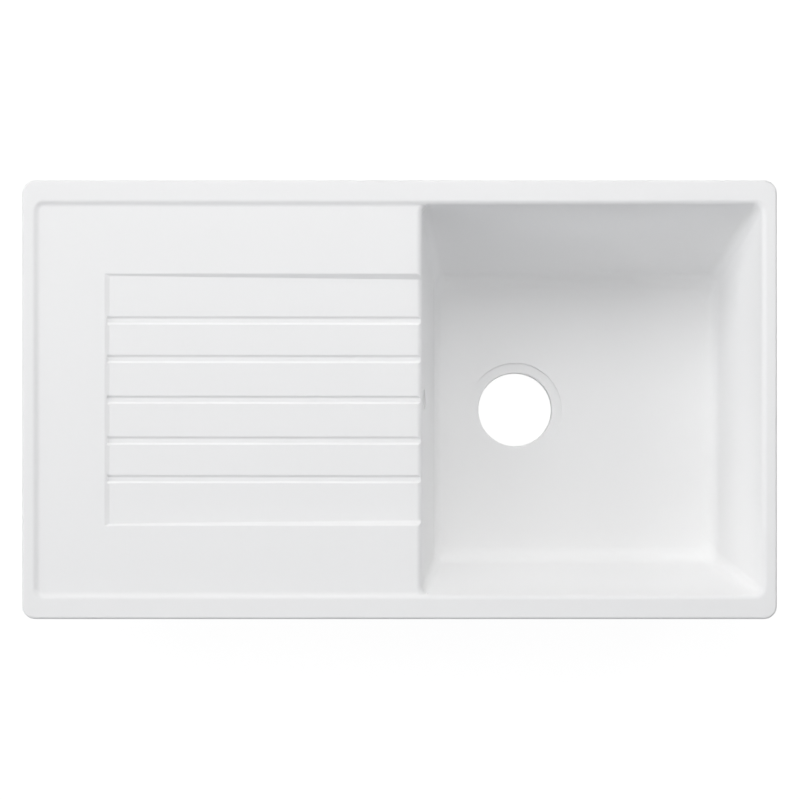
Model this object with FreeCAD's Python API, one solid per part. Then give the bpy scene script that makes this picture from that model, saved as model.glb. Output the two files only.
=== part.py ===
"""Inset kitchen sink: one bowl on the right, a sloped and grooved drainer on the left.

The part is the white composite moulding with its rim seal, brass inserts and eight
under-rim clamps. Millimetres, +Z up, +X towards the bowl, +Y towards the back edge.
The origin is the middle of the rim outline on the worktop's top face.
"""
import os
import math
import FreeCAD
import Part
from FreeCAD import Vector

# Outline, rim and deck
length = 860.0
width = 500.0
corner_radius = 15.0
rim_height = 8.0
rim_edge_radius = 3.0
rim_end_width = 15.8
rim_side_width = 26.3
step_depth = 3.0
step_run = 3.8
step_top_radius = 6.4
step_foot_radius = 6.4
step_corner_radius = 9.0

# Draining panel and its grooves
panel_left_x = -336.0
panel_half_width = 143.7
panel_shallow = 1.8
panel_deep = 4.9
panel_side_run = 1.25
panel_end_run = 2.8
panel_top_radius = 2.0
panel_foot_radius = 2.0
groove_offsets = [-90.5, -46.6, 0.0, 46.6, 90.5]
groove_half_width = 5.5
groove_half_floor = 1.6
groove_depth = 2.0
groove_rise = 0.06

# Bowl
bowl_left_x = 25.0
bowl_edge_bite = 0.6
bowl_depth = 195.0
bowl_top_corner = 10.0
left_floor_corner = 12.0
front_floor_corner = 14.0
back_floor_corner = 15.0
left_draft = 18.0
right_draft = 24.0
front_draft = 36.0
back_draft = 60.0
left_fillet = 8.0
right_fillet = 16.0
front_fillet = 20.0
back_fillet = 20.0
outer_fillet = 18.0
roll_radius = 6.5
bowl_edge_radius = 6.0
bowl_wall = 6.5
bowl_floor_wall = 10.0

# Drain and overflow
drain_x = 142.0
drain_y = 0.0
drain_radius = 45.0
drain_seat_radius = 57.2
drain_seat_depth = 2.5
drain_edge_radius = 1.5
drain_boss_radius = 66.0
drain_boss_drop = 4.0
overflow_y = 3.0
overflow_radius = 12.0
overflow_below_rim = 44.0
overflow_boss_radius = 22.0
overflow_boss_reach = 4.0

# Underside
rim_overlap = 10.0
cutout_clearance = 1.0
skirt_corner_radius = 10.0
skirt_wall = 8.0
skirt_depth = 24.0
plate_underside = 10.0
rib_wall = 6.0
rib_depth = 20.0
rib_x_places = [-330.0, -230.0, -130.0]
rib_y_places = [-115.0, 0.0, 115.0]
hollow_corner_radius = 6.0

# Seal under the rim
seal_inset = 2.0
seal_width = 6.0
seal_height = 2.6

# Clamps: where they stand along the long edges and along the drainer's end
clamp_x_places = [-300.0, -40.0, 300.0]
clamp_y_places = [130.0, -130.0]
boss_inset = 0.2
boss_radius = 6.5
insert_radius = 4.4
insert_length = 10.0
thread_clearance = 0.05
screw_radius = 3.0
screw_engagement = 9.0
clamp_travel = 12.0
tip_clearance = 1.5
tip_hole_clearance = 0.5
tip_chamfer = 0.7
face_clearance = 0.05
worktop_thickest = 40.0
claw_thickness = 2.5
claw_half_width = 6.0
claw_arm = 34.0
claw_toe_length = 9.0
claw_rise = 8.0
claw_bend_run = 5.0
claw_bend_lead = 1.2
claw_bore_clearance = 0.25
washer_radius = 6.0
washer_thickness = 1.6
washer_bore_clearance = 0.2
head_across_flats = 10.0
head_height = 4.0
head_slot_width = 1.6
head_slot_depth = 1.8

# Levels that follow from the sizes above
rim_top = rim_height
deck_z = rim_top - step_depth
floor_z = rim_top - bowl_depth
base_z = floor_z - bowl_floor_wall
half_length = length / 2
half_width = width / 2
step_half_x = half_length - rim_end_width
step_half_y = half_width - rim_side_width
step_foot = step_run / 2
bowl_right_x = step_half_x - step_foot + bowl_edge_bite
bowl_half_width = step_half_y - step_foot + bowl_edge_bite
left_slope = left_draft / (deck_z - floor_z)
cutout_length = length - 2 * rim_overlap
cutout_width = width - 2 * rim_overlap
skirt_half_x = cutout_length / 2 - cutout_clearance
skirt_half_y = cutout_width / 2 - cutout_clearance
claw_toe_z = -worktop_thickest
claw_base_top = claw_toe_z - claw_rise
claw_base_bottom = claw_base_top - claw_thickness
washer_top = claw_base_bottom - face_clearance
washer_bottom = washer_top - washer_thickness
head_top = washer_bottom - face_clearance
overflow_z = rim_top - overflow_below_rim
clamp_line_x = skirt_half_x - boss_radius - boss_inset
clamp_line_y = skirt_half_y - boss_radius - boss_inset

# Each clamp as x, y and the way its claw swings out, in degrees from +X
clamp_places = []
for side in (1, -1):
    for place in clamp_x_places:
        clamp_places.append((place, side * clamp_line_y, side * 90.0))
for place in clamp_y_places:
    clamp_places.append((-clamp_line_x, place, 180.0))

# How far cutting and joining shapes run past the faces they meet
margin = 1.0
long_margin = 60.0

# Outlines that the rounding at the foot of the bowl's walls passes through
foot_sections = 12


def cornered_outline(x0, x1, y0, y1, radii, z):
    """Closed wire of a rectangle with a radius for each corner, from front left round to back left."""
    corners = [(x0, y0), (x1, y0), (x1, y1), (x0, y1)]
    middle_x = (x0 + x1) / 2
    middle_y = (y0 + y1) / 2
    arcs = []
    for (x, y), radius in zip(corners, radii):
        in_x = math.copysign(radius, middle_x - x)
        in_y = math.copysign(radius, middle_y - y)
        k = 1 - math.sqrt(0.5)
        ends = [Vector(x, y + in_y, z), Vector(x + in_x, y, z)]
        if in_x * in_y < 0:
            ends.reverse()
        arcs.append((ends[0], Vector(x + in_x * k, y + in_y * k, z), ends[1]))
    edges = []
    for here, following in zip(arcs, arcs[1:] + arcs[:1]):
        edges.append(Part.Arc(*here).toShape())
        edges.append(Part.makeLine(here[2], following[0]))
    return Part.Wire(edges)


def rounded_outline(x0, x1, y0, y1, radius, z):
    """Closed wire of a rectangle with round corners, in the plane at height z."""
    return cornered_outline(x0, x1, y0, y1, [radius] * 4, z)


def slab(x0, x1, y0, y1, radius, z0, z1):
    """Upright block with round corners."""
    face = Part.Face(rounded_outline(x0, x1, y0, y1, radius, z0))
    return face.extrude(Vector(0, 0, z1 - z0))


def tapered(lower, upper):
    """Solid between two round-cornered outlines."""
    return Part.makeLoft([lower, upper], True, True)


def prism_xz(points, y0, y1):
    """Block with the given outline in X and Z, running from y0 to y1."""
    corners = [Vector(x, y0, z) for x, z in points]
    wire = Part.makePolygon(corners + corners[:1])
    return Part.Face(wire).extrude(Vector(0, y1 - y0, 0))


def edges_at(shape, height, test):
    """Edges that lie wholly at one height and pass a test of their middle point."""
    found = []
    for edge in shape.Edges:
        box = edge.BoundBox
        level = abs(box.ZMin - height) < 1e-4 and abs(box.ZMax - height) < 1e-4
        if level and test(box.Center):
            found.append(edge)
    return found


def inside_step(point):
    """True for a point within the stepped-down area."""
    reach = step_run
    return abs(point.x) < step_half_x + reach and abs(point.y) < step_half_y + reach


def inside_panel(point):
    """True for a point on the drainer, well inside the stepped-down area."""
    return point.x < bowl_left_x - margin and abs(point.y) < panel_half_width + margin


def fillet_inset(height, draft, radius):
    """How far the rounding at a wall's foot stands in from the wall's own plane."""
    lean = math.atan(draft / (deck_z - floor_z))
    reach = radius * math.tan((math.pi / 2 - lean) / 2)
    if height >= reach * math.cos(lean):
        return 0.0
    rise = radius - height
    return reach + height * math.tan(lean) - math.sqrt(radius * radius - rise * rise)


def bowl_outline(z, extra, rounded=False):
    """Outline of the bowl's inner wall at a height, grown outwards by extra."""
    part = (deck_z - z) / (deck_z - floor_z)
    inset = [0.0] * 4
    if rounded:
        walls = [
            (left_draft, left_fillet), (right_draft, right_fillet),
            (front_draft, front_fillet), (back_draft, back_fillet),
        ]
        inset = [fillet_inset(z - floor_z, draft, radius) for draft, radius in walls]
    radii = []
    for foot in (left_floor_corner, front_floor_corner, back_floor_corner, left_floor_corner):
        radii.append(bowl_top_corner + (foot - bowl_top_corner) * part + extra)
    return cornered_outline(
        bowl_left_x + left_draft * part - extra + inset[0],
        bowl_right_x - right_draft * part + extra - inset[1],
        -bowl_half_width + front_draft * part - extra + inset[2],
        bowl_half_width - back_draft * part + extra - inset[3],
        radii,
        z,
    )


def bowl_cavity(top):
    """Air inside the bowl, with a rounding of its own at the foot of each wall."""
    foot = max(left_fillet, right_fillet, front_fillet, back_fillet)
    sections = []
    for step in range(foot_sections + 1):
        height = foot * (step / foot_sections) ** 2
        sections.append(bowl_outline(floor_z + height, 0.0, True))
    low = Part.makeLoft(sections, True, False)
    return low, tapered(bowl_outline(floor_z + foot, 0.0), bowl_outline(top, 0.0))


def bowl_slice():
    """Everything between the planes of the bowl's front and back walls."""
    low = deck_z - 4 * roll_radius
    high = rim_top + 2 * roll_radius
    points = []
    for z in (low, high):
        part = (deck_z - z) / (deck_z - floor_z)
        points.append((-bowl_half_width + front_draft * part, bowl_half_width - back_draft * part, z))
    corners = [
        Vector(0, points[0][0], low), Vector(0, points[0][1], low),
        Vector(0, points[1][1], high), Vector(0, points[1][0], high),
    ]
    return Part.Face(Part.makePolygon(corners + corners[:1])).extrude(Vector(half_length, 0, 0))


def roll_turn(level):
    """Centre and lower end of the arc that rolls a surface at a height over into the bowl."""
    tilt = math.sqrt(1 + left_slope * left_slope)
    wall_x = bowl_left_x + left_slope * (deck_z - level)
    centre_x = wall_x + left_slope * roll_radius - roll_radius * tilt
    centre_z = level - roll_radius
    end_x = centre_x + roll_radius / tilt
    end_z = centre_z + roll_radius * left_slope / tilt
    return centre_x, centre_z, end_x, end_z


def roll_face(level):
    """Section in X and Z of the air above the rolled edge, from the edge to the corner's axis."""
    centre_x, centre_z, end_x, end_z = roll_turn(level)
    reach = roll_radius * math.sqrt(0.5)
    inside_x = bowl_left_x + bowl_top_corner
    above_z = rim_top + roll_radius
    start = Vector(centre_x, 0, level)
    middle = Vector(centre_x + reach, 0, centre_z + reach)
    end = Vector(end_x, 0, end_z)
    corners = [
        end, Vector(inside_x, 0, end_z), Vector(inside_x, 0, above_z),
        Vector(centre_x, 0, above_z), start,
    ]
    edges = [Part.Arc(start, middle, end).toShape()]
    for first, second in zip(corners, corners[1:]):
        edges.append(Part.makeLine(first, second))
    return Part.Face(Part.Wire(edges))


def deck_roll():
    """Air above the deck's rolled edge, swept round the two corners of the bowl's opening."""
    half_span = bowl_half_width - bowl_top_corner
    face = roll_face(deck_z)
    face.translate(Vector(0, -half_span, 0))
    pieces = [face.extrude(Vector(0, 2 * half_span, 0))]
    for sign in (-1, 1):
        turned = roll_face(deck_z)
        turned.translate(Vector(0, sign * half_span, 0))
        axis = Vector(bowl_left_x + bowl_top_corner, sign * half_span, 0)
        pieces.append(turned.revolve(axis, Vector(0, 0, -sign), 90))
    return pieces[0].multiFuse(pieces[1:]).common(bowl_slice())


def topside():
    """Everything seen from above, cut into a deep block."""
    low = base_z - long_margin
    block = slab(-half_length, half_length, -half_width, half_width, corner_radius, low, rim_top)
    block = block.makeFillet(rim_edge_radius, edges_at(block, rim_top, lambda point: True))

    above = 2 * margin
    grow = step_run * (step_depth + above) / step_depth - step_foot
    pocket = tapered(
        rounded_outline(
            -step_half_x + step_foot, step_half_x - step_foot,
            -step_half_y + step_foot, step_half_y - step_foot,
            step_corner_radius - step_foot, deck_z),
        rounded_outline(
            -step_half_x - grow, step_half_x + grow, -step_half_y - grow, step_half_y + grow,
            step_corner_radius + grow, rim_top + above),
    )
    block = block.cut(pocket)
    block = block.makeFillet(step_top_radius, edges_at(block, rim_top, inside_step))
    block = block.makeFillet(step_foot_radius, edges_at(block, deck_z, inside_step))

    for cavity in bowl_cavity(rim_top + above):
        block = block.cut(cavity)
    lips = []
    for edge in block.Edges:
        middle = edge.BoundBox.Center
        along_side = abs(abs(middle.y) - bowl_half_width) < bowl_edge_bite and middle.x > bowl_left_x
        along_end = abs(middle.x - bowl_right_x) < bowl_edge_bite
        if edge.Length > bowl_half_width and middle.z > deck_z and (along_side or along_end):
            lips.append(edge)
    return block.makeFillet(bowl_edge_radius, lips)


def panel_section(x0, x1):
    """Prism along X with the panel's sloping sides, upright below the panel's lowest level."""
    over = 3 * margin
    low_z = deck_z - panel_deep
    outer = panel_half_width + panel_side_run * over
    inner = panel_half_width - panel_side_run * panel_deep
    deep_z = low_z - 3 * roll_radius
    points = [
        (-outer, deck_z + over), (outer, deck_z + over), (inner, low_z), (inner, deep_z),
        (-inner, deep_z), (-inner, low_z),
    ]
    corners = [Vector(x0, y, z) for y, z in points]
    return Part.Face(Part.makePolygon(corners + corners[:1])).extrude(Vector(x1 - x0, 0, 0))


def panel_cutter():
    """Shallow sloping field of the drainer, up to the bowl's wall."""
    low_z = deck_z - panel_deep
    left_z = deck_z - panel_shallow
    turn_x = roll_turn(low_z)[0]
    slope = (left_z - low_z) / (turn_x - panel_left_x)
    over = 3 * margin
    end_run = panel_end_run * panel_shallow
    far_x = bowl_left_x + bowl_top_corner
    outline = [
        (panel_left_x - panel_end_run * over, deck_z + over),
        (panel_left_x + end_run, left_z - slope * end_run),
        (far_x, low_z - slope * (far_x - turn_x)),
        (far_x, deck_z + over),
    ]
    cutter = prism_xz(outline, -width, width).common(panel_section(-half_length, half_length))
    feet = []
    for edge in cutter.Edges:
        box = edge.BoundBox
        if box.ZMax < left_z and box.XLength > panel_half_width:
            feet.append(edge)
    return cutter.makeFillet(panel_foot_radius, feet)


def groove_cutter(offset):
    """One groove with soft sides, following the slope of the panel."""
    low_z = deck_z - panel_deep
    left_z = deck_z - panel_shallow
    turn_x = roll_turn(low_z)[0]
    run = turn_x - panel_left_x
    fall = left_z - low_z
    side = groove_half_width - groove_half_floor
    half_turn = math.atan2(groove_depth, side)
    radius = side / (2 * math.sin(2 * half_turn))
    start_x = panel_left_x + panel_end_run * panel_shallow / 2
    start_z = left_z - fall * (start_x - panel_left_x) / run

    def place(y, depth):
        return Vector(start_x, offset + y, start_z + groove_rise - depth)

    def side_edges(sign):
        turn_y = radius * math.sin(half_turn)
        turn_z = radius * (1 - math.cos(half_turn))
        middle = ((groove_half_width + groove_half_floor) / 2, groove_depth / 2)
        top = place(sign * groove_half_width, 0.0)
        mid = place(sign * middle[0], middle[1])
        foot = place(sign * groove_half_floor, groove_depth)
        upper_mid = place(sign * (groove_half_width - turn_y), turn_z)
        lower_mid = place(sign * (groove_half_floor + turn_y), groove_depth - turn_z)
        upper = Part.Arc(top, upper_mid, mid).toShape()
        lower = Part.Arc(mid, lower_mid, foot).toShape()
        return [upper, lower], top, foot

    left_edges, left_top, left_foot = side_edges(-1)
    right_edges, right_top, right_foot = side_edges(1)
    rise = Vector(0, 0, 3 * margin)
    edges = left_edges + [Part.makeLine(left_foot, right_foot)]
    edges += [right_edges[1], right_edges[0]]
    edges += [
        Part.makeLine(right_top, right_top + rise),
        Part.makeLine(right_top + rise, left_top + rise),
        Part.makeLine(left_top + rise, left_top),
    ]
    face = Part.Face(Part.Wire(Part.sortEdges(edges)[0]))
    reach = run + 3 * roll_radius
    return face.extrude(Vector(reach, 0, -fall * reach / run))


def envelope():
    """Everything the underside leaves standing."""
    rim = slab(-half_length, half_length, -half_width, half_width, corner_radius, 0, rim_top + margin)
    plate = slab(
        -skirt_half_x, skirt_half_x, -skirt_half_y, skirt_half_y, skirt_corner_radius,
        -plate_underside, margin)
    skirt = slab(
        -skirt_half_x, skirt_half_x, -skirt_half_y, skirt_half_y, skirt_corner_radius,
        -skirt_depth, 0)
    inner_x = skirt_half_x - skirt_wall
    inner_y = skirt_half_y - skirt_wall
    hollow = slab(
        -inner_x, inner_x, -inner_y, inner_y, hollow_corner_radius,
        -skirt_depth - margin, -plate_underside)
    bowl = tapered(bowl_outline(floor_z, bowl_wall), bowl_outline(deck_z, bowl_wall))
    base = Part.Face(bowl_outline(floor_z, bowl_wall)).extrude(Vector(0, 0, -bowl_floor_wall))
    bowl = bowl.fuse(base).removeSplitter()
    bowl = bowl.makeFillet(outer_fillet, edges_at(bowl, base_z, lambda point: True))
    bowl = bowl.common(slab(
        -skirt_half_x, skirt_half_x, -skirt_half_y, skirt_half_y, skirt_corner_radius,
        base_z - margin, deck_z))
    pieces = [plate, skirt.cut(hollow), bowl]
    for x in rib_x_places:
        pieces.append(Part.makeBox(
            rib_wall, 2 * inner_y + 2 * margin, rib_depth - margin,
            Vector(x - rib_wall / 2, -inner_y - margin, -rib_depth)))
    for y in rib_y_places:
        pieces.append(Part.makeBox(
            inner_x + bowl_left_x, rib_wall, rib_depth - margin,
            Vector(-inner_x - margin, y - rib_wall / 2, -rib_depth)))
    for x, y, _ in clamp_places:
        pieces.append(Part.makeCylinder(
            boss_radius, skirt_depth, Vector(x, y, -skirt_depth)))
    pieces.append(Part.makeCylinder(
        drain_boss_radius, bowl_floor_wall + drain_boss_drop,
        Vector(drain_x, drain_y, base_z - drain_boss_drop)))
    pieces.append(Part.makeCylinder(
        overflow_boss_radius, overflow_boss_reach + bowl_wall,
        Vector(bowl_left_x - bowl_wall, overflow_y, overflow_z), Vector(1, 0, 0)))
    return rim.multiFuse(pieces).removeSplitter()


def seal_ring(z0, z1):
    """Band of the seal's plan shape between two heights."""
    outer_x = half_length - seal_inset
    outer_y = half_width - seal_inset
    outer = slab(
        -outer_x, outer_x, -outer_y, outer_y, corner_radius - seal_inset, z0, z1)
    inner_x = outer_x - seal_width
    inner_y = outer_y - seal_width
    inner = slab(
        -inner_x, inner_x, -inner_y, inner_y, corner_radius - seal_inset - seal_width,
        z0 - margin, z1 + margin)
    return outer.cut(inner)


def insert_hole_top():
    """Height of the blind hole's end, clear of the screw's tip at full travel."""
    return -skirt_depth + screw_engagement + clamp_travel + tip_clearance


def sink_moulding():
    """The white casting."""
    body = topside()
    body = body.cut(panel_cutter())
    rims = edges_at(body, deck_z, inside_panel)
    body = body.makeFillet(panel_top_radius, rims)
    low_z = deck_z - panel_deep
    roll = roll_face(low_z).extrude(Vector(0, width, 0))
    roll.translate(Vector(0, -half_width, 0))
    body = body.cut(deck_roll())
    body = body.cut(roll.common(panel_section(-half_length, half_length)))
    for offset in groove_offsets:
        body = body.cut(groove_cutter(offset))

    seat_z = floor_z - drain_seat_depth
    seat = Part.makeCylinder(
        drain_seat_radius, drain_seat_depth + margin, Vector(drain_x, drain_y, seat_z))
    hole = Part.makeCylinder(
        drain_radius, 2 * long_margin, Vector(drain_x, drain_y, floor_z - long_margin))
    body = body.cut(seat).cut(hole)
    rings = []
    for edge in edges_at(body, seat_z, lambda point: True):
        if abs(edge.BoundBox.XLength - 2 * drain_radius) < 0.1:
            rings.append(edge)
    body = body.makeFillet(drain_edge_radius, rings)

    body = body.common(envelope())
    body = body.cut(Part.makeCylinder(
        overflow_radius, 2 * long_margin,
        Vector(bowl_left_x - long_margin, overflow_y, overflow_z), Vector(1, 0, 0)))
    body = body.cut(seal_ring(-margin, seal_height))
    for x, y, _ in clamp_places:
        body = body.cut(Part.makeCylinder(
            insert_radius, insert_length + margin, Vector(x, y, -skirt_depth - margin)))
        body = body.cut(Part.makeCylinder(
            screw_radius + tip_hole_clearance, insert_hole_top() + skirt_depth, Vector(x, y, -skirt_depth)))
    return body


def threaded_inserts():
    """Brass sleeves pressed into the bosses."""
    sleeves = []
    for x, y, _ in clamp_places:
        outer = Part.makeCylinder(insert_radius, insert_length, Vector(x, y, -skirt_depth))
        bore = Part.makeCylinder(
            screw_radius + thread_clearance, insert_length + 2 * margin,
            Vector(x, y, -skirt_depth - margin))
        sleeves.append(outer.cut(bore))
    return Part.makeCompound(sleeves)


def clamp_screw(x, y):
    """Hexagon-headed screw with a slot, head downwards."""
    tip = -skirt_depth + screw_engagement
    shank = Part.makeCylinder(screw_radius, tip - head_top, Vector(x, y, head_top))
    shank = shank.makeChamfer(tip_chamfer, edges_at(shank, tip, lambda point: True))
    reach = head_across_flats / 2 / math.cos(math.pi / 6)
    corners = []
    for number in range(7):
        angle = math.radians(60 * number)
        corners.append(Vector(
            x + reach * math.cos(angle), y + reach * math.sin(angle), head_top - head_height))
    head = Part.Face(Part.makePolygon(corners)).extrude(Vector(0, 0, head_height))
    slot = Part.makeBox(
        4 * reach, head_slot_width, head_slot_depth + margin,
        Vector(x - 2 * reach, y - head_slot_width / 2, head_top - head_height - margin))
    return shank.fuse(head.cut(slot)).removeSplitter()


def clamp_washer(x, y):
    """Plain washer between the screw's head and the claw."""
    disc = Part.makeCylinder(washer_radius, washer_thickness, Vector(x, y, washer_bottom))
    bore = Part.makeCylinder(
        screw_radius + washer_bore_clearance, washer_thickness + 2 * margin,
        Vector(x, y, washer_bottom - margin))
    return disc.cut(bore)


def clamp_claw(x, y, out_angle):
    """Pressed steel claw, parked along the edge: flat base, sloping arm and raised toe."""
    toe_start = claw_arm - claw_toe_length
    bend_start = toe_start - claw_bend_run
    low = claw_base_bottom
    high = claw_base_bottom + claw_rise
    profile = [
        (-claw_half_width - margin, low), (bend_start, low), (toe_start, high), (claw_arm, high),
        (claw_arm, high + claw_thickness), (toe_start - claw_bend_lead, high + claw_thickness),
        (bend_start - claw_bend_lead, low + claw_thickness),
        (-claw_half_width - margin, low + claw_thickness),
    ]
    strip = prism_xz(profile, -claw_half_width, claw_half_width)
    plan = Part.makeCylinder(claw_half_width, 2 * long_margin, Vector(0, 0, low - long_margin))
    plan = plan.fuse(Part.makeBox(
        claw_arm + margin, 2 * claw_half_width, 2 * long_margin,
        Vector(0, -claw_half_width, low - long_margin)))
    strip = strip.common(plan)
    bore = Part.makeCylinder(
        screw_radius + claw_bore_clearance, 2 * long_margin, Vector(0, 0, low - long_margin))
    strip = strip.cut(bore).removeSplitter()
    strip.rotate(Vector(0, 0, 0), Vector(0, 0, 1), out_angle - 90.0)
    strip.translate(Vector(x, y, 0))
    return strip


def save(shape, name):
    """Write one node and print its size."""
    shape.exportStep(os.path.join("parts", name + ".step"))
    box = shape.BoundBox
    print(name, shape.isValid(), len(shape.Solids), round(shape.Volume),
          [round(v, 2) for v in (box.XMin, box.XMax, box.YMin, box.YMax, box.ZMin, box.ZMax)])


os.makedirs("parts", exist_ok=True)
save(sink_moulding(), "sink_moulding")
save(seal_ring(0, seal_height), "rim_seal")
save(threaded_inserts(), "threaded_inserts")
for number, (place_x, place_y, out_way) in enumerate(clamp_places, 1):
    save(clamp_screw(place_x, place_y), "clamp_screw_%d" % number)
    save(clamp_washer(place_x, place_y), "clamp_washer_%d" % number)
    save(clamp_claw(place_x, place_y, out_way), "clamp_claw_%d" % number)
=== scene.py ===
# %% [markdown]
# An inset kitchen sink, dressed for its portrait
# The sink is one white casting of stone composite: a grooved drainer on the left and a
# square bowl on the right. Under its rim sit a foam seal, brass inserts and eight screw
# clamps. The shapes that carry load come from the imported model, which is loaded here as a
# fixed frame. This lesson adds finishes, threads, bends and soft edges, the light and the camera.

# %% Load the frame
import bpy
import bmesh
import math
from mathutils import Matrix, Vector


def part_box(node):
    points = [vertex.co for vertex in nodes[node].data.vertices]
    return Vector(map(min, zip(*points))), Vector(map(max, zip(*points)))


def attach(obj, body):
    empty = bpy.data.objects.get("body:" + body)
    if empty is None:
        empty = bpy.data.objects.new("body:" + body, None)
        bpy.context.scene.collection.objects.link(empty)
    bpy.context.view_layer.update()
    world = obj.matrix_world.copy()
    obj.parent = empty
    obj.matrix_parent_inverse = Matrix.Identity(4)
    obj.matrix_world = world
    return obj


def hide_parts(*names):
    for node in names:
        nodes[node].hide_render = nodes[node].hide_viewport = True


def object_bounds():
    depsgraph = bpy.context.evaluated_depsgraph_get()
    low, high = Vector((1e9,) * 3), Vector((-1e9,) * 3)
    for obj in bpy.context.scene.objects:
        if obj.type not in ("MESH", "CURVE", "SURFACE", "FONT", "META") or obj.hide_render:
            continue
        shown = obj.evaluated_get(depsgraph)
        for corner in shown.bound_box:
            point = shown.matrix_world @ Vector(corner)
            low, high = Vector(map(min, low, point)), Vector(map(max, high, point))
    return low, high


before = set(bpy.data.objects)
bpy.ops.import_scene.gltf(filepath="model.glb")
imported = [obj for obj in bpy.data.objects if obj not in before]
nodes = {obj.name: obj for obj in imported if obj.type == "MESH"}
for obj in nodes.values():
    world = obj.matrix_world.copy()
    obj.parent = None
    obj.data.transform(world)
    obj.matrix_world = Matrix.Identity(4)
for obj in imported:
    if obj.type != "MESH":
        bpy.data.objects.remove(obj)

cad_low, cad_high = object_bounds()
print("box of the solids:", [round(v, 4) for v in cad_low], [round(v, 4) for v in cad_high])

# %% [markdown]
# Reading the clamp places
# Each clamp turns about an upright axis, and its washer is a ring round that axis. The middle of
# the washer's box is therefore the axis, and the claw's box shows which way the claw is parked.
# They could be typed in again, but reading them from the frame keeps each new piece on its solid.

# %% Clamp places
clamp_count = sum(1 for name in nodes if name.startswith("clamp_washer_"))
clamps = []
for number in range(1, clamp_count + 1):
    washer_low, washer_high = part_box("clamp_washer_%d" % number)
    claw_low, claw_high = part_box("clamp_claw_%d" % number)
    axis = (washer_low + washer_high) / 2
    arm = (claw_low + claw_high) / 2 - axis
    clamps.append({"number": number, "x": axis.x, "y": axis.y, "parked": math.atan2(arm.y, arm.x)})
print("clamps at", [(round(c["x"], 4), round(c["y"], 4)) for c in clamps])

# %% [markdown]
# Small helpers for node trees
# A node tree is easier to read when one line makes one node. The first helper adds a node, sets
# its options and fills its inputs, with a plain value or with a link from another node. The
# others do one step of arithmetic, stretch one range of values onto another and blend two colours.

# %% Node helpers
def add_node(tree, kind, options=None, inputs=None):
    node = tree.nodes.new(kind)
    for name, value in (options or {}).items():
        setattr(node, name, value)
    for name, value in (inputs or {}).items():
        if isinstance(value, bpy.types.NodeSocket):
            tree.links.new(value, node.inputs[name])
        else:
            node.inputs[name].default_value = value
    return node


def calc(tree, operation, first, second=0.0, third=0.0):
    node = add_node(tree, "ShaderNodeMath", {"operation": operation}, {0: first, 1: second, 2: third})
    return node.outputs[0]


def ramp_between(tree, value, low, high, out_low, out_high):
    node = add_node(tree, "ShaderNodeMapRange", {"clamp": True}, {
        "Value": value, "From Min": low, "From Max": high, "To Min": out_low, "To Max": out_high})
    return node.outputs["Result"]


def mix_colour(tree, factor, first, second):
    node = tree.nodes.new("ShaderNodeMix")
    node.data_type = "RGBA"
    tree.links.new(factor, node.inputs["Factor"])
    for name, value in (("A", first), ("B", second)):
        socket = [s for s in node.inputs if s.name == name and s.type == "RGBA"][0]
        if isinstance(value, bpy.types.NodeSocket):
            tree.links.new(value, socket)
        else:
            socket.default_value = value
    return [s for s in node.outputs if s.type == "RGBA"][0]


print("helpers ready")

# %% [markdown]
# The white composite
# Quartz composite is ground stone in a white resin. From a step away it is an even, soft white
# with a matt sheen. Close up there is a fine grain of lighter and darker stone, and the skin is
# very slightly pebbled. The back of the casting is left as it came from the mould: duller, a
# little greyer and rougher. A painted picture would need unwrapping and would show its seams, so
# the grain is noise, read in Object coordinates. One material covers front and back, because the
# solid is one piece: a face below the rim that looks down counts as the back.

# %% White composite material
def object_coordinates(tree):
    return tree.nodes.new("ShaderNodeTexCoord").outputs["Object"]


def noise(tree, where, scale, detail, roughness=0.5):
    node = add_node(tree, "ShaderNodeTexNoise", None, {
        "Vector": where, "Scale": scale, "Detail": detail, "Roughness": roughness})
    return node.outputs["Fac"]


def new_material(name):
    material = bpy.data.materials.new(name)
    material.use_nodes = True
    tree = material.node_tree
    return material, tree, tree.nodes["Principled BSDF"]


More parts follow.
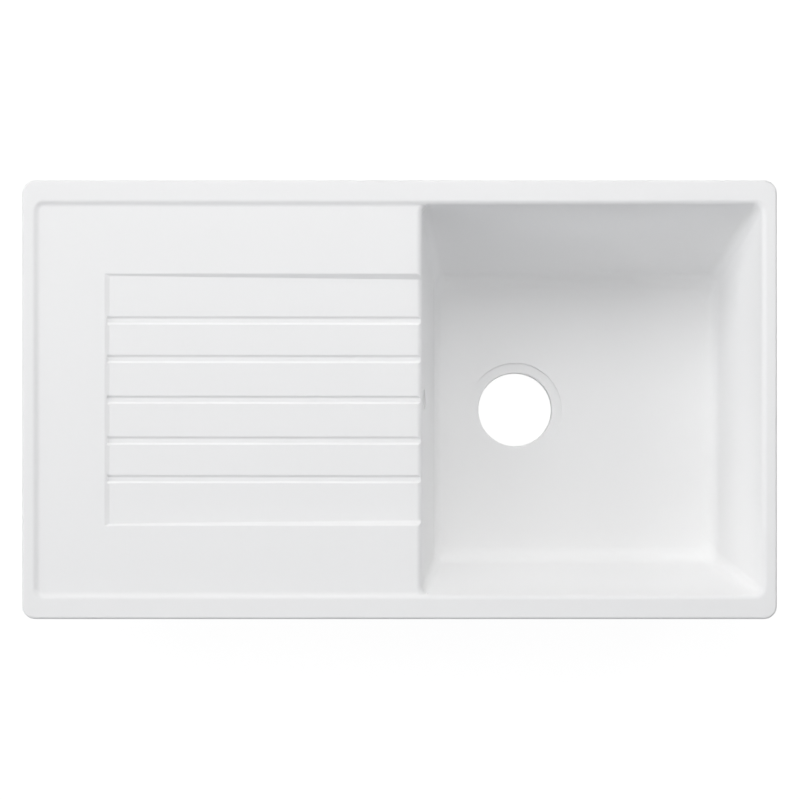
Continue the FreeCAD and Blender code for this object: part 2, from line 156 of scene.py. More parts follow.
def make_white_composite():
    material, tree, shader = new_material("white_composite")
    where = object_coordinates(tree)
    facing = tree.nodes.new("ShaderNodeTexCoord").outputs["Normal"]
    up = add_node(tree, "ShaderNodeSeparateXYZ", None, {0: facing}).outputs["Z"]
    height = add_node(tree, "ShaderNodeSeparateXYZ", None, {0: where}).outputs["Z"]
    turned_down = ramp_between(tree, up, -0.02, 0.02, 1.0, 0.0)
    below_rim = ramp_between(tree, height, -0.0006, -0.0001, 1.0, 0.0)
    back = calc(tree, "MULTIPLY", turned_down, below_rim)

    dark_grain = (0.894, 0.894, 0.895, 1)
    light_grain = (0.910, 0.910, 0.911, 1)
    cloud_tint = (0.891, 0.891, 0.892, 1)
    grain_step = ramp_between(tree, noise(tree, where, scale=1700.0, detail=2.0), 0.3, 0.7, 0.0, 1.0)
    cloud_step = ramp_between(tree, noise(tree, where, scale=7.0, detail=2.0), 0.3, 0.7, 0.0, 0.25)
    face = mix_colour(tree, grain_step, dark_grain, light_grain)
    face = mix_colour(tree, cloud_step, face, cloud_tint)

    dark_cast = (0.79, 0.79, 0.79, 1)
    light_cast = (0.86, 0.86, 0.857, 1)
    spots = noise(tree, where, scale=240.0, detail=4.0, roughness=0.6)
    cast_spots = ramp_between(tree, spots, 0.35, 0.7, 0.0, 1.0)
    raw = mix_colour(tree, cast_spots, dark_cast, light_cast)
    tree.links.new(mix_colour(tree, back, face, raw), shader.inputs["Base Color"])

    sheen_change = ramp_between(tree, noise(tree, where, scale=420.0, detail=3.0), 0.3, 0.7, 0.57, 0.63)
    added_roughness = 0.22
    raw_roughness = calc(tree, "MULTIPLY", back, added_roughness)
    tree.links.new(calc(tree, "ADD", sheen_change, raw_roughness), shader.inputs["Roughness"])

    pebble_share = 0.05
    pebble = calc(tree, "MULTIPLY", noise(tree, where, scale=2600.0, detail=1.0), pebble_share)
    raw_pits = calc(tree, "MULTIPLY", noise(tree, where, scale=300.0, detail=4.0, roughness=0.65), back)
    relief = calc(tree, "ADD", pebble, raw_pits)
    bump = add_node(tree, "ShaderNodeBump", None, {"Strength": 0.35, "Distance": 0.0004, "Height": relief})
    tree.links.new(bump.outputs["Normal"], shader.inputs["Normal"])
    shader.inputs["Specular IOR Level"].default_value = 0.25
    return material


white_composite = make_white_composite()
nodes["sink_moulding"].material_slots[0].material = white_composite
print("the casting keeps its solid and takes", white_composite.name)

# %% [markdown]
# Metals and foam
# The clamps are zinc plated steel. Plating shows soft cloudy patches, and pressed parts carry
# fine drawn lines along their length. The inserts are turned brass, warmer and a little
# smoother. The seal is black closed-cell foam, full of small pores, and the pores are coloured
# darker towards their bottoms as painted shade. One function makes all the metals, because they
# differ only in colour, gloss and the stretch of their lines. The patterns are read in Object
# coordinates, so they stay fixed to the pieces.

# %% Metal and foam materials
def make_metal(name, dark, light, rough_low, rough_high, line_stretch):
    material, tree, shader = new_material(name)
    where = object_coordinates(tree)
    cloud = noise(tree, where, scale=260.0, detail=4.0, roughness=0.6)
    spangle = noise(tree, where, scale=1500.0, detail=2.0)
    cloud_share = 0.7
    fine_part = calc(tree, "MULTIPLY", spangle, 1.0 - cloud_share)
    patches = calc(tree, "MULTIPLY_ADD", cloud, cloud_share, fine_part)
    amount = ramp_between(tree, patches, 0.35, 0.65, 0.0, 1.0)
    tree.links.new(mix_colour(tree, amount, dark, light), shader.inputs["Base Color"])
    tree.links.new(ramp_between(tree, cloud, 0.3, 0.7, rough_low, rough_high), shader.inputs["Roughness"])
    stretched = add_node(tree, "ShaderNodeMapping", None, {"Vector": where, "Scale": line_stretch})
    lines = noise(tree, stretched.outputs["Vector"], scale=900.0, detail=2.0)
    bump = add_node(tree, "ShaderNodeBump", None, {"Strength": 0.25, "Distance": 0.00005, "Height": lines})
    tree.links.new(bump.outputs["Normal"], shader.inputs["Normal"])
    shader.inputs["Metallic"].default_value = 1.0
    return material


def make_foam():
    material, tree, shader = new_material("black_foam")
    where = object_coordinates(tree)
    cells = add_node(tree, "ShaderNodeTexVoronoi", None, {"Vector": where, "Scale": 1600.0})
    pore = ramp_between(tree, cells.outputs["Distance"], 0.1, 0.6, 0.0, 1.0)
    # Painted shade: each pore is coloured darker towards its middle, where the bump sinks it lowest.
    shaded_pore_bottom = (0.016, 0.016, 0.017, 1)
    skin_foam = (0.052, 0.052, 0.055, 1)
    tree.links.new(mix_colour(tree, pore, shaded_pore_bottom, skin_foam), shader.inputs["Base Color"])
    tree.links.new(ramp_between(tree, pore, 0.0, 1.0, 0.95, 0.8), shader.inputs["Roughness"])
    bump = add_node(tree, "ShaderNodeBump", None, {"Strength": 0.6, "Distance": 0.0003, "Height": pore})
    tree.links.new(bump.outputs["Normal"], shader.inputs["Normal"])
    shader.inputs["Specular IOR Level"].default_value = 0.2
    return material


plated_screw = make_metal(
    "plated_screw", dark=(0.52, 0.52, 0.51, 1), light=(0.66, 0.66, 0.65, 1),
    rough_low=0.26, rough_high=0.40, line_stretch=(1.0, 1.0, 1.0))
plated_washer = make_metal(
    "plated_washer", dark=(0.56, 0.56, 0.56, 1), light=(0.70, 0.70, 0.69, 1),
    rough_low=0.24, rough_high=0.36, line_stretch=(1.0, 1.0, 1.0))
pressed_steel = make_metal(
    "pressed_steel", dark=(0.47, 0.48, 0.49, 1), light=(0.62, 0.63, 0.64, 1),
    rough_low=0.30, rough_high=0.46, line_stretch=(0.15, 0.15, 1.0))
turned_brass = make_metal(
    "turned_brass", dark=(0.66, 0.46, 0.17, 1), light=(0.80, 0.60, 0.27, 1),
    rough_low=0.22, rough_high=0.34, line_stretch=(0.3, 0.3, 2.0))
black_foam = make_foam()
print("finishes:", [m.name for m in (plated_screw, plated_washer, pressed_steel, turned_brass, black_foam)])

# %% [markdown]
# Running a node tree as a workshop
# Geometry Nodes are used here as small machines: sizes go in, a finished mesh comes out. Loops
# over points could do the same work, but a tree keeps its sizes in named inputs. The last helper
# sets each input by its identifier before the first evaluation, turns the result into a plain
# mesh, takes the modifier away, welds the seams and turns the faces outwards. The finished object
# stands at the origin with its place in its points.

# %% Tree runner
weld_distance = 1e-6


def new_tree(name, sizes):
    tree = bpy.data.node_groups.new(name, "GeometryNodeTree")
    tree.interface.new_socket("Geometry", in_out="INPUT", socket_type="NodeSocketGeometry")
    for label, (kind, value) in sizes.items():
        socket = tree.interface.new_socket(label, in_out="INPUT", socket_type="NodeSocket" + kind)
        if value is not None:
            socket.default_value = value
    tree.interface.new_socket("Geometry", in_out="OUTPUT", socket_type="NodeSocketGeometry")
    given = tree.nodes.new("NodeGroupInput").outputs
    result = tree.nodes.new("NodeGroupOutput").inputs[0]
    return tree, given, result


def finish_tree(tree, given, result, geometry):
    placed = add_node(tree, "GeometryNodeTransform", None, {
        "Geometry": geometry, "Translation": given["Place"], "Rotation": given["Turn"]})
    real = add_node(tree, "GeometryNodeRealizeInstances", None, {"Geometry": placed.outputs[0]})
    painted = add_node(tree, "GeometryNodeSetMaterial", None, {
        "Geometry": real.outputs[0], "Material": given["Finish"]})
    tree.links.new(painted.outputs[0], result)


def run_tree(tree, name, values, smooth_angle, points=(), edges=()):
    source = bpy.data.meshes.new(name + "_source")
    source.from_pydata(list(points), list(edges), [])
    maker = bpy.data.objects.new(name + "_maker", source)
    bpy.context.scene.collection.objects.link(maker)
    modifier = maker.modifiers.new("workshop", "NODES")
    modifier.node_group = tree
    identifiers = {i.name: i.identifier for i in tree.interface.items_tree if i.in_out == "INPUT"}
    for label, value in values.items():
        modifier[identifiers[label]] = value
    bpy.context.view_layer.update()
    graph = bpy.context.evaluated_depsgraph_get()
    mesh = bpy.data.meshes.new_from_object(maker.evaluated_get(graph), depsgraph=graph)
    maker.modifiers.remove(modifier)
    bpy.data.objects.remove(maker)
    work = bmesh.new()
    work.from_mesh(mesh)
    bmesh.ops.remove_doubles(work, verts=work.verts, dist=weld_distance)
    bmesh.ops.recalc_face_normals(work, faces=work.faces)
    work.to_mesh(mesh)
    work.free()
    mesh.name = name
    mesh.polygons.foreach_set("use_smooth", [True] * len(mesh.polygons))
    mesh.set_sharp_from_angle(angle=math.radians(smooth_angle))
    piece = bpy.data.objects.new(name, mesh)
    bpy.context.scene.collection.objects.link(piece)
    return piece


place_and_finish = {
    "Place": ("Vector", (0.0, 0.0, 0.0)),
    "Turn": ("Rotation", None),
    "Finish": ("Material", None),
}
print("tree runner ready")

# %% [markdown]
# The clamp screws
# A clamp screw is a fully threaded M6 screw with a hexagon head and a slot. The thread follows a
# rule: walking once round the screw climbs one pitch. A tooth could be swept along a helix, but
# its ends would stay open. Here a flat grid is rolled into a tube, and the distance of each point
# from the axis follows a wave of its height less its part of a turn, so tip and foot close by
# themselves. The head is a six-sided bar, its corners trimmed by a cone and its slot cut by a box.

# %% Screw tree
def make_screw_tree():
    tree, given, result = new_tree("threaded_screw", {
        "Outer Radius": ("Float", 0.003),
        "Thread Depth": ("Float", 0.0005),
        "Pitch": ("Float", 0.001),
        "Shank Length": ("Float", 0.037),
        "Tip Chamfer": ("Float", 0.0007),
        "Across Flats": ("Float", 0.010),
        "Head Height": ("Float", 0.004),
        "Slot Width": ("Float", 0.0016),
        "Slot Depth": ("Float", 0.0018),
        "Rows": ("Int", 300),
        **place_and_finish,
    })
    points_around = 25
    grid = add_node(tree, "GeometryNodeMeshGrid", None, {
        "Size X": 1.0, "Size Y": 1.0, "Vertices X": points_around, "Vertices Y": given["Rows"]})
    position = tree.nodes.new("GeometryNodeInputPosition").outputs[0]
    spot = add_node(tree, "ShaderNodeSeparateXYZ", None, {0: position})
    round_part = calc(tree, "ADD", spot.outputs["X"], 0.5)
    long_part = calc(tree, "ADD", spot.outputs["Y"], 0.5)
    angle = calc(tree, "MULTIPLY", round_part, 2 * math.pi)
    height = calc(tree, "MULTIPLY", long_part, given["Shank Length"])
    turns = calc(tree, "SUBTRACT", calc(tree, "DIVIDE", height, given["Pitch"]), round_part)
    wave = calc(tree, "PINGPONG", turns, 0.5)
    crest = ramp_between(tree, wave, 0.07, 0.44, 0.0, 1.0)
    root = calc(tree, "SUBTRACT", given["Outer Radius"], given["Thread Depth"])
    radius = calc(tree, "MULTIPLY_ADD", crest, given["Thread Depth"], root)
    to_tip = calc(tree, "SUBTRACT", given["Shank Length"], height)
    tip_radius = calc(tree, "SUBTRACT", given["Outer Radius"], given["Tip Chamfer"])
    radius = calc(tree, "MINIMUM", radius, calc(tree, "ADD", tip_radius, to_tip))
    inside_ends = calc(tree, "LESS_THAN", calc(tree, "ABSOLUTE", spot.outputs["Y"]), 0.49999)
    radius = calc(tree, "MULTIPLY", radius, inside_ends)
    rolled = add_node(tree, "ShaderNodeCombineXYZ", None, {
        "X": calc(tree, "MULTIPLY", radius, calc(tree, "COSINE", angle)),
        "Y": calc(tree, "MULTIPLY", radius, calc(tree, "SINE", angle)),
        "Z": height})
    tube = add_node(tree, "GeometryNodeSetPosition", None, {
        "Geometry": grid.outputs["Mesh"], "Position": rolled.outputs[0]})
    shank = add_node(tree, "GeometryNodeMergeByDistance", None, {
        "Geometry": tube.outputs[0], "Distance": weld_distance})

    trim_foot, trim_mouth, trim_stretch = 0.82, 2.3, 1.01
    corner = calc(tree, "DIVIDE", given["Across Flats"], 2 * math.cos(math.pi / 6))
    half_down = calc(tree, "MULTIPLY", given["Head Height"], -0.5)
    all_down = calc(tree, "MULTIPLY", given["Head Height"], -1.0)
    bar = add_node(tree, "GeometryNodeMeshCylinder", None, {
        "Vertices": 6, "Radius": corner, "Depth": given["Head Height"]})
    bar_place = add_node(tree, "ShaderNodeCombineXYZ", None, {"Z": half_down})
    bar_low = add_node(tree, "GeometryNodeTransform", None, {
        "Geometry": bar.outputs["Mesh"], "Translation": bar_place.outputs[0]})
    trim = add_node(tree, "GeometryNodeMeshCone", None, {
        "Vertices": 48, "Radius Bottom": calc(tree, "MULTIPLY", corner, trim_foot),
        "Radius Top": calc(tree, "MULTIPLY", corner, trim_mouth), "Depth": given["Head Height"]})
    trim_place = add_node(tree, "ShaderNodeCombineXYZ", None, {
        "Z": calc(tree, "MULTIPLY", half_down, 1.0 + trim_stretch)})
    trim_low = add_node(tree, "GeometryNodeTransform", None, {
        "Geometry": trim.outputs["Mesh"], "Translation": trim_place.outputs[0],
        "Scale": (1.0, 1.0, trim_stretch)})
    head = add_node(tree, "GeometryNodeMeshBoolean", {"operation": "INTERSECT", "solver": "MANIFOLD"})
    tree.links.new(bar_low.outputs[0], head.inputs["Mesh 2"])
    tree.links.new(trim_low.outputs[0], head.inputs["Mesh 2"])
    slot_size = add_node(tree, "ShaderNodeCombineXYZ", None, {
        "X": calc(tree, "MULTIPLY", corner, 4.0), "Y": given["Slot Width"],
        "Z": calc(tree, "MULTIPLY", given["Slot Depth"], 2.0)})
    slot = add_node(tree, "GeometryNodeMeshCube", None, {"Size": slot_size.outputs[0]})
    slot_place = add_node(tree, "ShaderNodeCombineXYZ", None, {"Z": all_down})
    slot_low = add_node(tree, "GeometryNodeTransform", None, {
        "Geometry": slot.outputs["Mesh"], "Translation": slot_place.outputs[0]})
    slotted = add_node(tree, "GeometryNodeMeshBoolean", {"operation": "DIFFERENCE", "solver": "MANIFOLD"})
    tree.links.new(head.outputs[0], slotted.inputs["Mesh 1"])
    tree.links.new(slot_low.outputs[0], slotted.inputs["Mesh 2"])
    whole = tree.nodes.new("GeometryNodeJoinGeometry")
    tree.links.new(slotted.outputs[0], whole.inputs[0])
    tree.links.new(shank.outputs[0], whole.inputs[0])
    finish_tree(tree, given, result, whole.outputs[0])
    return tree


screw_tree = make_screw_tree()
head_height = 0.004
thread_pitch = 0.001
rows_per_turn = 8
for clamp in clamps:
    node = "clamp_screw_%d" % clamp["number"]
    low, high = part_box(node)
    shank_length = high.z - low.z - head_height
    piece = run_tree(screw_tree, "screw_%d" % clamp["number"], {
        "Place": (clamp["x"], clamp["y"], low.z + head_height),
        "Shank Length": shank_length,
        "Head Height": head_height,
        "Pitch": thread_pitch,
        "Rows": int(shank_length / thread_pitch * rows_per_turn),
        "Finish": plated_screw,
    }, smooth_angle=40)
    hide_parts(node)
    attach(piece, "screw_%d" % clamp["number"])
print("screws:", clamp_count, "each of", len(piece.data.polygons), "faces")

# %% [markdown]
# Washers and inserts
# Both are turned rings. A cylinder with a hole cut through it would have knife edges, so a ring is
# a small rounded rectangle carried round a circle, which is what Curve to Mesh does. The insert
# has a straight knurl outside, so its outer points are drawn in by a wave of their angle. The
# eight inserts belong to the casting and are one piece, so the ring is made once and set on eight
# points.

# %% Ring tree
def ring_profile(tree, inner, outer, low, high, edge):
    width = calc(tree, "SUBTRACT", outer, inner)
    tall = calc(tree, "SUBTRACT", high, low)
    band = add_node(tree, "GeometryNodeCurvePrimitiveQuadrilateral", None, {"Width": width, "Height": tall})
    return add_node(tree, "GeometryNodeFilletCurve", {"mode": "POLY"}, {
        "Curve": band.outputs[0], "Radius": edge, "Count": 2, "Limit Radius": True}).outputs[0]


def make_ring_tree(name, knurled):
    tree, given, result = new_tree(name, {
        "Inner Radius": ("Float", 0.0032),
        "Outer Radius": ("Float", 0.006),
        "Low": ("Float", 0.0),
        "High": ("Float", 0.0016),
        "Edge": ("Float", 0.0002),
        "Knurls": ("Int", 30),
        "Knurl Depth": ("Float", 0.0),
        **place_and_finish,
    })
    profile = ring_profile(
        tree, given["Inner Radius"], given["Outer Radius"], given["Low"], given["High"], given["Edge"])
    middle = calc(tree, "MULTIPLY", calc(tree, "ADD", given["Inner Radius"], given["Outer Radius"]), 0.5)
    points_around = 120 if knurled else 72
    path = add_node(tree, "GeometryNodeCurvePrimitiveCircle", {"mode": "RADIUS"}, {
        "Resolution": points_around, "Radius": middle})
    ring = add_node(tree, "GeometryNodeCurveToMesh", None, {
        "Curve": path.outputs[0], "Profile Curve": profile, "Fill Caps": False})
    level = calc(tree, "MULTIPLY", calc(tree, "ADD", given["Low"], given["High"]), 0.5)
    lift = add_node(tree, "ShaderNodeCombineXYZ", None, {"Z": level})
    last = add_node(tree, "GeometryNodeSetPosition", None, {
        "Geometry": ring.outputs[0], "Offset": lift.outputs[0]})
    if knurled:
        position = tree.nodes.new("GeometryNodeInputPosition").outputs[0]
        spot = add_node(tree, "ShaderNodeSeparateXYZ", None, {0: position})
        angle = calc(tree, "ARCTAN2", spot.outputs["Y"], spot.outputs["X"])
        wave = calc(tree, "SINE", calc(tree, "MULTIPLY", angle, given["Knurls"]))
        flat = add_node(tree, "ShaderNodeCombineXYZ", None, {
            "X": spot.outputs["X"], "Y": spot.outputs["Y"]})
        distance = add_node(tree, "ShaderNodeVectorMath", {"operation": "LENGTH"}, {0: flat.outputs[0]})
        outside = calc(tree, "GREATER_THAN", distance.outputs["Value"], middle)
        depth = calc(tree, "MULTIPLY", calc(tree, "MULTIPLY_ADD", wave, 0.5, -0.5), given["Knurl Depth"])
        shift = calc(tree, "MULTIPLY", depth, outside)
        inward = add_node(tree, "ShaderNodeCombineXYZ", None, {
            "X": calc(tree, "MULTIPLY", shift, calc(tree, "COSINE", angle)),
            "Y": calc(tree, "MULTIPLY", shift, calc(tree, "SINE", angle))})
        grooved = add_node(tree, "GeometryNodeSetPosition", None, {
            "Geometry": last.outputs[0], "Offset": inward.outputs[0]})
        last = add_node(tree, "GeometryNodeInstanceOnPoints", None, {
            "Points": given["Geometry"], "Instance": grooved.outputs[0]})
    finish_tree(tree, given, result, last.outputs[0])
    return tree


washer_tree = make_ring_tree("plain_washer", False)
insert_tree = make_ring_tree("knurled_insert", True)
for clamp in clamps:
    node = "clamp_washer_%d" % clamp["number"]
    low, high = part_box(node)
    piece = run_tree(washer_tree, "washer_%d" % clamp["number"], {
        "Place": (clamp["x"], clamp["y"], 0.0),
        "Outer Radius": (high.x - low.x) / 2,
        "Low": low.z,
        "High": high.z,
        "Finish": plated_washer,
    }, smooth_angle=30)
    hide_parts(node)
    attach(piece, "washer_%d" % clamp["number"])
print("washers:", clamp_count, "box of the last", [round(v, 4) for v in piece.dimensions])

low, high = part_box("threaded_inserts")
inserts = run_tree(insert_tree, "inserts", {
    "Inner Radius": 0.00305,
    "Outer Radius": 0.0044,
    "Low": low.z,
    "High": high.z,
    "Edge": 0.00025,
    "Knurl Depth": 0.00025,
    "Finish": turned_brass,
}, smooth_angle=30, points=[(clamp["x"], clamp["y"], 0.0) for clamp in clamps])
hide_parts("threaded_inserts")
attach(inserts, "sink")
print("inserts:", len(inserts.data.polygons), "faces")

# %% [markdown]
# The claws
# A claw is a strip of steel bent twice in a press: a flat base on the washer, a short slope and a
# raised toe with teeth that grip the worktop's underside. It could be pushed out of a box, but a
# sweep keeps the metal equally thick through its bends, as a press does. So a line through the
# middle of the strip is rounded at its two bends and swept with the strip's section. A round eye
# joins the strip at the screw, and its bore is cut afterwards, as a punch would do it.

# %% Claw tree
def make_claw_tree():
    tree, given, result = new_tree("pressed_claw", {
        "Thickness": ("Float", 0.0025),
        "Width": ("Float", 0.012),
        "Arm": ("Float", 0.034),
        "Bend Radius": ("Float", 0.0028),
        "Bore Radius": ("Float", 0.00325),
        "Base Level": ("Float", 0.0),
        "Toe Top": ("Float", 0.0),
        "Teeth": ("Int", 5),
        **place_and_finish,
    })
    line = add_node(tree, "GeometryNodeMeshToCurve", None, {"Mesh": given["Geometry"]})
    bent = add_node(tree, "GeometryNodeFilletCurve", {"mode": "POLY"}, {
        "Curve": line.outputs[0], "Radius": given["Bend Radius"], "Count": 6, "Limit Radius": True})
    upright = add_node(tree, "GeometryNodeSetCurveNormal", {"mode": "Z_UP"}, {"Curve": bent.outputs[0]})
    section = add_node(tree, "GeometryNodeCurvePrimitiveQuadrilateral", None, {
        "Width": given["Width"], "Height": given["Thickness"]})
    strip = add_node(tree, "GeometryNodeCurveToMesh", None, {
        "Curve": upright.outputs[0], "Profile Curve": section.outputs[0], "Fill Caps": True})
    half = calc(tree, "MULTIPLY", given["Width"], 0.5)
    eye = add_node(tree, "GeometryNodeMeshCylinder", None, {
        "Vertices": 72, "Radius": half, "Depth": given["Thickness"]})
    eye_place = add_node(tree, "ShaderNodeCombineXYZ", None, {"Z": given["Base Level"]})
    eye_low = add_node(tree, "GeometryNodeTransform", None, {
        "Geometry": eye.outputs["Mesh"], "Translation": eye_place.outputs[0]})
    blank = add_node(tree, "GeometryNodeMeshBoolean", {"operation": "UNION", "solver": "MANIFOLD"})
    tree.links.new(strip.outputs[0], blank.inputs["Mesh 2"])
    tree.links.new(eye_low.outputs[0], blank.inputs["Mesh 2"])
    punch_length = 0.2
    punch = add_node(tree, "GeometryNodeMeshCylinder", None, {
        "Vertices": 48, "Radius": given["Bore Radius"], "Depth": punch_length})
    holed = add_node(tree, "GeometryNodeMeshBoolean", {"operation": "DIFFERENCE", "solver": "MANIFOLD"})
    tree.links.new(blank.outputs[0], holed.inputs["Mesh 1"])
    tree.links.new(punch.outputs["Mesh"], holed.inputs["Mesh 2"])

    tip_share, foot_share, rise_share = 0.06, 0.7, 0.35
    step = calc(tree, "DIVIDE", given["Width"], given["Teeth"])
    half_step = calc(tree, "MULTIPLY", step, 0.5)
    start = add_node(tree, "ShaderNodeCombineXYZ", None, {
        "X": calc(tree, "SUBTRACT", given["Arm"], half_step),
        "Y": calc(tree, "SUBTRACT", half_step, half),
        "Z": given["Toe Top"]})
    row = add_node(tree, "GeometryNodeMeshLine", {"mode": "OFFSET"}, {
        "Count": given["Teeth"], "Start Location": start.outputs[0],
        "Offset": add_node(tree, "ShaderNodeCombineXYZ", None, {"Y": step}).outputs[0]})
    tooth = add_node(tree, "GeometryNodeMeshCone", None, {
        "Vertices": 4, "Radius Top": calc(tree, "MULTIPLY", step, tip_share),
        "Radius Bottom": calc(tree, "MULTIPLY", step, foot_share),
        "Depth": calc(tree, "MULTIPLY", step, rise_share)})
    teeth = add_node(tree, "GeometryNodeInstanceOnPoints", None, {
        "Points": row.outputs["Mesh"], "Instance": tooth.outputs["Mesh"],
        "Rotation": (0.0, 0.0, math.pi / 4)})
    whole = tree.nodes.new("GeometryNodeJoinGeometry")
    tree.links.new(holed.outputs[0], whole.inputs[0])
    tree.links.new(teeth.outputs[0], whole.inputs[0])
    finish_tree(tree, given, result, whole.outputs[0])
    return tree


claw_tree = make_claw_tree()
claw_thickness = 0.0025
bend_from = 0.0194
bend_to = 0.0244
claw_arm = 0.034
for clamp in clamps:
    node = "clamp_claw_%d" % clamp["number"]
    low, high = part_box(node)
    base_middle = low.z + claw_thickness / 2
    toe_middle = high.z - claw_thickness / 2
    piece = run_tree(claw_tree, "claw_%d" % clamp["number"], {
        "Place": (clamp["x"], clamp["y"], 0.0),
        "Turn": (0.0, 0.0, clamp["parked"]),
        "Thickness": claw_thickness,
        "Arm": claw_arm,
        "Base Level": base_middle,
        "Toe Top": high.z,
        "Finish": pressed_steel,
    }, smooth_angle=30, points=[
        (0.0, 0.0, base_middle), (bend_from, 0.0, base_middle),
        (bend_to, 0.0, toe_middle), (claw_arm, 0.0, toe_middle)],
        edges=[(0, 1), (1, 2), (2, 3)])
    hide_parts(node)
    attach(piece, "claw_%d" % clamp["number"])
print("claws:", clamp_count, "box of the last", [round(v, 4) for v in piece.dimensions])

# %% [markdown]
# The rim seal
# A foam strip lies in a channel under the rim and stands a little proud of it, so that it is
# squeezed when the sink is clamped down. A bevelled frame would have a flat lower side, so a
# rounded rectangle, the outline of the channel, carries a section with a crowned one. A slow
# noise keeps the foam from looking machined.

# %% Seal tree
def make_seal_tree():
    tree, given, result = new_tree("foam_seal", {
        "Long Side": ("Float", 0.850),
        "Short Side": ("Float", 0.490),
        "Corner Radius": ("Float", 0.010),
        "Unevenness": ("Float", 0.00012),
        **place_and_finish,
    })
    step_length, lump_scale, channel_level = 0.0025, 90.0, -0.0001
    outline = add_node(tree, "GeometryNodeCurvePrimitiveQuadrilateral", None, {
        "Width": given["Long Side"], "Height": given["Short Side"]})
    rounded = add_node(tree, "GeometryNodeFilletCurve", {"mode": "POLY"}, {
        "Curve": outline.outputs[0], "Radius": given["Corner Radius"], "Count": 16, "Limit Radius": True})
    even = add_node(tree, "GeometryNodeResampleCurve", {"mode": "LENGTH"}, {
        "Curve": rounded.outputs[0], "Length": step_length})
    upright = add_node(tree, "GeometryNodeSetCurveNormal", {"mode": "Z_UP"}, {"Curve": even.outputs[0]})
    section = add_node(tree, "GeometryNodeMeshToCurve", None, {"Mesh": given["Geometry"]})
    strip = add_node(tree, "GeometryNodeCurveToMesh", None, {
        "Curve": upright.outputs[0], "Profile Curve": section.outputs[0], "Fill Caps": False})
    position = tree.nodes.new("GeometryNodeInputPosition").outputs[0]
    spot = add_node(tree, "ShaderNodeSeparateXYZ", None, {0: position})
    lumps = noise(tree, position, scale=lump_scale, detail=2.0)
    drop = calc(tree, "MULTIPLY", calc(tree, "SUBTRACT", lumps, 0.5), given["Unevenness"])
    under = calc(tree, "LESS_THAN", spot.outputs["Z"], channel_level)
    offset = add_node(tree, "ShaderNodeCombineXYZ", None, {"Z": calc(tree, "MULTIPLY", drop, under)})
    lumpy = add_node(tree, "GeometryNodeSetPosition", None, {
        "Geometry": strip.outputs[0], "Offset": offset.outputs[0]})
    finish_tree(tree, given, result, lumpy.outputs[0])
    return tree


seal_tree = make_seal_tree()
low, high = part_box("rim_seal")
strip_half = 0.003
seal_crown = 0.0007
crown_steps = 8
crown_fullness = 0.7
section_points = [(-strip_half, high.z, 0.0), (strip_half, high.z, 0.0), (strip_half, low.z, 0.0)]
for step in range(1, crown_steps):
    sweep = math.pi * step / crown_steps
    down = seal_crown * math.sin(sweep) ** crown_fullness
    section_points.append((strip_half * math.cos(sweep), low.z - down, 0.0))
section_points.append((-strip_half, low.z, 0.0))
section_edges = [(i, (i + 1) % len(section_points)) for i in range(len(section_points))]
seal = run_tree(seal_tree, "seal", {
    "Long Side": high.x - low.x - 2 * strip_half,
    "Short Side": high.y - low.y - 2 * strip_half,
    "Finish": black_foam,
}, smooth_angle=50, points=section_points, edges=section_edges)
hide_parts("rim_seal")
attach(seal, "sink")
seal_lowest = min(v.co.z for v in seal.data.vertices)
print("seal box", [round(v, 4) for v in seal.dimensions], "lowest", round(seal_lowest, 5))

# %% [markdown]
# Floor and surroundings
# The portrait stands on plain white. Enough light to turn the floor white would burn out the sink
# too. So what the camera sees of the floor is lifted to white by the Light Path node, with the
# sink's shadow kept, and the floor throws only a little light back at the sink. From below it is
# clear, so the clamps can be looked at. The world gives a trace of fill and shows white behind.

# %% Floor and world
def looked_at(tree):
    path = tree.nodes.new("ShaderNodeLightPath").outputs
    mirrored = calc(tree, "MAXIMUM", path["Is Glossy Ray"], path["Is Transmission Ray"])
    return calc(tree, "MAXIMUM", path["Is Camera Ray"], mirrored)


def make_floor_material():
    material, tree, shader = new_material("pale_floor")
    tree.nodes.remove(shader)
    out = tree.nodes["Material Output"]
    where = object_coordinates(tree)
    paper = ramp_between(tree, noise(tree, where, scale=30.0, detail=3.0), 0.3, 0.7, 0.34, 0.36)
    paper_colour = add_node(tree, "ShaderNodeCombineColor", None, {
        "Red": paper, "Green": paper, "Blue": paper})
    plain = add_node(tree, "ShaderNodeBsdfDiffuse", None, {"Color": paper_colour.outputs[0]})
    faint = add_node(tree, "ShaderNodeBsdfDiffuse", None, {"Color": (0.16, 0.16, 0.16, 1)})
    glow = add_node(tree, "ShaderNodeEmission", None, {"Color": (1, 1, 1, 1), "Strength": 0.93})
    seen = tree.nodes.new("ShaderNodeAddShader")
    tree.links.new(faint.outputs[0], seen.inputs[0])
    tree.links.new(glow.outputs[0], seen.inputs[1])
    choose = tree.nodes.new("ShaderNodeMixShader")
    tree.links.new(looked_at(tree), choose.inputs[0])
    tree.links.new(plain.outputs[0], choose.inputs[1])
    tree.links.new(seen.outputs[0], choose.inputs[2])
    from_below = tree.nodes.new("ShaderNodeNewGeometry").outputs["Backfacing"]
    window = tree.nodes.new("ShaderNodeBsdfTransparent")
    one_sided = tree.nodes.new("ShaderNodeMixShader")
    tree.links.new(from_below, one_sided.inputs[0])
    tree.links.new(choose.outputs[0], one_sided.inputs[1])
    tree.links.new(window.outputs[0], one_sided.inputs[2])
    tree.links.new(one_sided.outputs[0], out.inputs["Surface"])
    return material


floor_gap = 0.0005
floor_half = 4.0
floor_z = cad_low.z - floor_gap
floor_corners = [(floor_half * x, floor_half * y, floor_z) for x, y in ((-1, -1), (1, -1), (1, 1), (-1, 1))]
floor_mesh = bpy.data.meshes.new("floor")
floor_mesh.from_pydata(floor_corners, [], [(0, 1, 2, 3)])
floor_mesh.materials.append(make_floor_material())
floor = bpy.data.objects.new("floor", floor_mesh)
bpy.context.scene.collection.objects.link(floor)

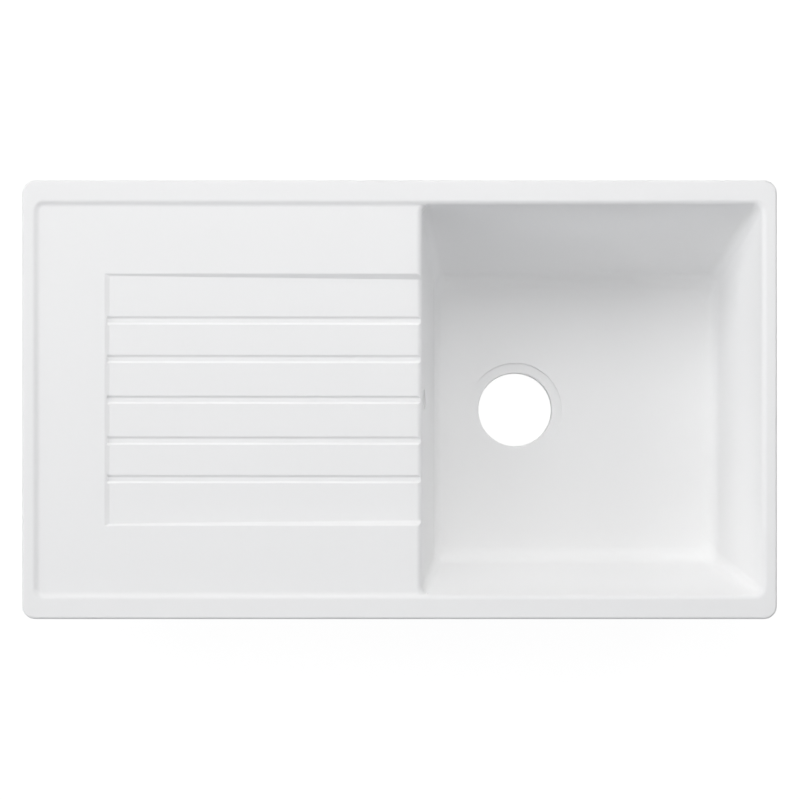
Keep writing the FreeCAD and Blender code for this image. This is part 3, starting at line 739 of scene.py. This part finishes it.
fill_strength = 0.01
world = bpy.data.worlds.new("white_surround")
bpy.context.scene.world = world
world.use_nodes = True
backdrop = world.node_tree.nodes["Background"]
strength = ramp_between(world.node_tree, looked_at(world.node_tree), 0.0, 1.0, fill_strength, 1.0)
world.node_tree.links.new(strength, backdrop.inputs["Strength"])
backdrop.inputs["Color"].default_value = (1, 1, 1, 1)
print("floor at", round(floor_z, 4), "fill", fill_strength)

# %% [markdown]
# Lamps
# The light is soft and comes mostly from the back and the left, so the back wall of the bowl lies
# in shade and its front wall is bright. One large lamp would do that too, but with a harder shade.
# Large round lamps stand far off, all round the sink, and give an even light. Two smaller ones
# stand close behind it, so the light falls off from the back rim to the front. The lamps in front
# of the sink are a trace cooler, as light in shade is. Each is named by where it stands: degrees
# round from +X, then degrees up. Its strength is in watts.

# %% Soft lamps
far_lamps = {
    (45, 22): 65, (45, 45): 20, (45, 68): 18, (90, 22): 58, (90, 68): 30, (135, 45): 70, (135, 68): 18,
    (180, 22): 165, (225, 22): 45, (225, 45): 35, (315, 22): 60, (315, 45): 26,
}
near_lamps = {(90, 50): 15, (90, 75): 7.5}
neutral_light = (1.0, 1.0, 1.0)
cool_light = (0.98, 1.0, 1.04)
lamp_groups = (
    {"lamps": far_lamps, "distance": 7.0, "width": 3.4},
    {"lamps": near_lamps, "distance": 2.6, "width": 1.3},
)
for group in lamp_groups:
    for (around, above), watts in group["lamps"].items():
        lamp = bpy.data.lights.new("soft_%d_%d" % (around, above), "AREA")
        lamp.shape = "DISK"
        lamp.size = group["width"]
        lamp.energy = watts
        lamp.color = cool_light if around > 180 else neutral_light
        stand = bpy.data.objects.new(lamp.name, lamp)
        turn, rise = math.radians(around), math.radians(above)
        flat = group["distance"] * math.cos(rise)
        stand.location = (
            flat * math.cos(turn), flat * math.sin(turn), group["distance"] * math.sin(rise))
        stand.rotation_euler = (-Vector(stand.location)).to_track_quat("-Z", "Y").to_euler()
        bpy.context.scene.collection.objects.link(stand)
print("lamps:", len(far_lamps), "far and", len(near_lamps), "near")

# %% [markdown]
# Camera
# The photograph looks straight down, with the rim parallel to the picture. An orthographic camera
# would show the bowl's floor at the same scale as the rim, so this one has perspective. The lens
# stood a little in front of the sink's middle, so the picture is shifted back up by the same
# amount. The width of the view at the rim follows from the rim itself: 860 mm span 755.5 of the
# picture's 800 points.

# %% Camera above the sink
view_height = 2.44
frame_width = 0.91064
lens_front = -0.152
fine_shift = 0.0006
camera = bpy.data.cameras.new("camera")
camera.sensor_width = 36.0
camera.lens = camera.sensor_width * view_height / frame_width
camera.shift_x = fine_shift
camera.shift_y = -lens_front / frame_width - fine_shift
camera_stand = bpy.data.objects.new("camera", camera)
camera_stand.location = (0.0, lens_front, cad_high.z + view_height)
bpy.context.scene.collection.objects.link(camera_stand)
bpy.context.scene.camera = camera_stand
bpy.context.scene.view_settings.view_transform = "Standard"
print("lens", round(camera.lens, 2), "shift", round(camera.shift_y, 4))
